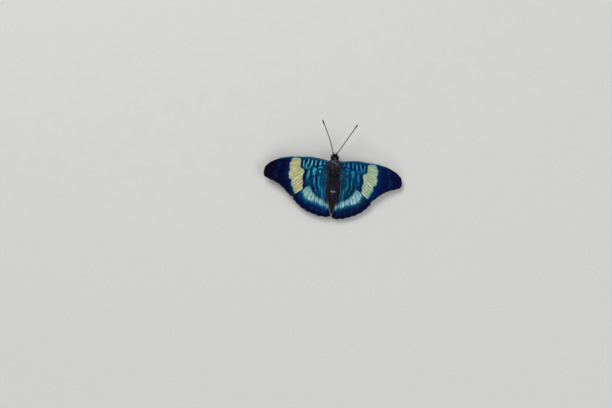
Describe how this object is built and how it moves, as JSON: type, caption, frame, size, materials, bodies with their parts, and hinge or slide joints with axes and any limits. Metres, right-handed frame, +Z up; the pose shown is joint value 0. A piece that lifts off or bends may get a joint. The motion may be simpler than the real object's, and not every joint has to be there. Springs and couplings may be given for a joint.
{
  "type": "procilla beauty butterfly",
  "caption": "Life-size still model of a basking butterfly: wings spread flat, blue and teal with a cream band, body, antennae and legs, resting on its feet.",
  "frame": {"origin": "middle of the bounding box in X and Y, on the surface that the feet stand on", "axes": "+Y towards the head, +X to the butterfly's right, +Z up, away from the surface it rests on"},
  "size_m": [0.0724, 0.0514, 0.0099],
  "materials": {
    "body": "short dark scales and hair",
    "eye": "smooth dark facetted lens",
    "limb": "thin dark shell with fine scales",
    "wing": "fine overlapping scales with a blue sheen"
  },
  "bodies": {
    "root": {"thorax": "body", "abdomen": "body", "head": "body", "palp_left": "body", "palp_right": "body", "eye_left": "eye", "eye_right": "eye", "proboscis": "limb", "antenna_left": "limb", "antenna_right": "limb", "foreleg_left": "limb", "foreleg_right": "limb", "midleg_left": "limb", "midleg_right": "limb", "hindleg_left": "limb", "hindleg_right": "limb", "forewing_left": "wing", "forewing_right": "wing", "hindwing_left": "wing", "hindwing_right": "wing"}
  },
  "joints": []
}
